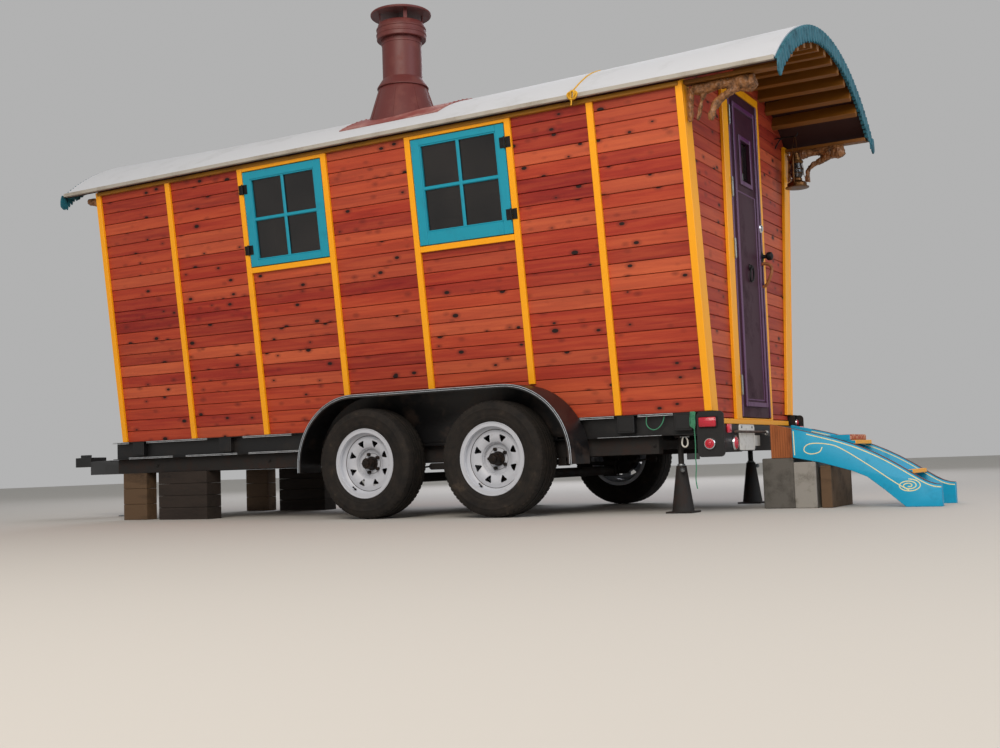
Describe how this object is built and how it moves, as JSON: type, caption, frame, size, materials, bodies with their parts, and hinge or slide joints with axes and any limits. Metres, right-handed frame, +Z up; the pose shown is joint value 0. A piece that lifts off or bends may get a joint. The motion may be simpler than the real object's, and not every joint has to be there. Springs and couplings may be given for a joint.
{
  "type": "vardo wagon",
  "caption": "Wooden living wagon with flared boarded walls and a bowed roof on a tandem-axle trailer, with hinged door and windows, chimney, steps and tongue jack",
  "frame": {"origin": "On the ground, midway between the coupler's nose and the foot of the steps, on the middle line", "axes": "+X forward to the coupler, +Y to the left side, +Z up"},
  "size_m": [6.752, 2.046, 3.29],
  "materials": {
    "red_boards": "stained boards, satin",
    "yellow_paint": "painted wood, satin",
    "turquoise_paint": "painted wood, satin",
    "door_paint": "dark painted wood, satin",
    "step_paint": "painted wood with scrolls",
    "bare_timber": "bare timber, matte",
    "root_wood": "gnarled root, oiled",
    "roof_sheet": "pale roof coating, matte",
    "black_steel": "black paint, dusty",
    "rusty_steel": "worn dark paint with rust",
    "grey_steel": "zinc-plated, dull",
    "white_steel": "white paint, chipped",
    "hub_iron": "dark greasy iron",
    "tyre_rubber": "dusty rubber",
    "window_glass": "clear glass",
    "door_iron": "dark iron fittings",
    "chimney_paint": "dark red paint",
    "lamp_red": "red lens",
    "plate_white": "blank white plate",
    "block_stone": "concrete and timber blocks",
    "lantern_tin": "brass-coloured tin, aged",
    "green_cord": "green braided cord"
  },
  "bodies": {
    "wagon": {"chassis_frame": "rusty_steel", "deck_rails": "black_steel", "tongue": "black_steel", "coupler": "black_steel", "jack_tube": "grey_steel", "axles": "rusty_steel", "springs": "rusty_steel", "fender_left": "black_steel", "fender_right": "black_steel", "rear_beam": "black_steel", "tail_lamps": "lamp_red", "plates": "plate_white", "deck": "bare_timber", "jack_stands": "rusty_steel", "footings": "block_stone", "stringers": "step_paint", "treads": "bare_timber", "wall_left": "red_boards", "wall_right": "red_boards", "wall_front": "red_boards", "wall_rear": "red_boards", "side_trim": "yellow_paint", "end_trim": "yellow_paint", "roof": "roof_sheet", "purlins": "bare_timber", "valances": "turquoise_paint", "chimney_pipe": "chimney_paint", "chimney_cap": "chimney_paint", "roots": "root_wood", "lantern": "lantern_tin", "cord_tail": "green_cord", "cord_loop": "green_cord"},
    "wheel_front_left": {"tyre_front_left": "tyre_rubber", "rim_front_left": "white_steel", "hub_front_left": "hub_iron"},
    "wheel_rear_left": {"tyre_rear_left": "tyre_rubber", "rim_rear_left": "white_steel", "hub_rear_left": "hub_iron"},
    "wheel_front_right": {"tyre_front_right": "tyre_rubber", "rim_front_right": "white_steel", "hub_front_right": "hub_iron"},
    "wheel_rear_right": {"tyre_rear_right": "tyre_rubber", "rim_rear_right": "white_steel", "hub_rear_right": "hub_iron"},
    "door": {"door_leaf": "door_paint", "door_pane": "window_glass", "door_fittings": "door_iron"},
    "window_front_left": {"sash_front_left": "turquoise_paint", "pane_front_left": "window_glass"},
    "window_front_right": {"sash_front_right": "turquoise_paint", "pane_front_right": "window_glass"},
    "window_rear_left": {"sash_rear_left": "turquoise_paint", "pane_rear_left": "window_glass"},
    "window_rear_right": {"sash_rear_right": "turquoise_paint", "pane_rear_right": "window_glass"},
    "window_gable": {"sash_gable": "turquoise_paint", "pane_gable": "window_glass"},
    "jack": {"jack_leg": "grey_steel"}
  },
  "joints": [
    {"name": "spin_front_left", "type": "hinge", "parent": "wagon", "child": "wheel_front_left", "pos_m": [-0.174, 0.871, 0.336], "axis": [0, 1, 0], "continuous": true},
    {"name": "spin_rear_left", "type": "hinge", "parent": "wagon", "child": "wheel_rear_left", "pos_m": [-1.064, 0.871, 0.336], "axis": [0, 1, 0], "continuous": true},
    {"name": "spin_front_right", "type": "hinge", "parent": "wagon", "child": "wheel_front_right", "pos_m": [-0.174, -0.871, 0.336], "axis": [0, 1, 0], "continuous": true},
    {"name": "spin_rear_right", "type": "hinge", "parent": "wagon", "child": "wheel_rear_right", "pos_m": [-1.064, -0.871, 0.336], "axis": [0, 1, 0], "continuous": true},
    {"name": "door_hinge", "type": "hinge", "parent": "wagon", "child": "door", "pos_m": [-2.319, 0.2365, 1.4855], "axis": [0, 0, -1], "range_deg": [0, 110]},
    {"name": "window_front_left_hinge", "type": "hinge", "parent": "wagon", "child": "window_front_left", "pos_m": [0.7435, 0.93483, 1.94617], "axis": [0, -0.1276, -0.9918], "range_deg": [0, 100]},
    {"name": "window_front_right_hinge", "type": "hinge", "parent": "wagon", "child": "window_front_right", "pos_m": [0.7435, -0.93483, 1.94617], "axis": [0, -0.1276, 0.9918], "range_deg": [0, 100]},
    {"name": "window_rear_left_hinge", "type": "hinge", "parent": "wagon", "child": "window_rear_left", "pos_m": [-1.2175, 0.93406, 1.94017], "axis": [0, 0.1276, 0.9918], "range_deg": [0, 100]},
    {"name": "window_rear_right_hinge", "type": "hinge", "parent": "wagon", "child": "window_rear_right", "pos_m": [-1.2175, -0.93406, 1.94017], "axis": [0, 0.1276, -0.9918], "range_deg": [0, 100]},
    {"name": "window_gable_hinge", "type": "hinge", "parent": "wagon", "child": "window_gable", "pos_m": [2.09, 0.3225, 1.945], "axis": [0, 0, 1], "range_deg": [0, 100]},
    {"name": "jack_slide", "type": "slide", "parent": "wagon", "child": "jack", "axis": [0, 0, 1], "range_m": [0, 0.2]}
  ]
}
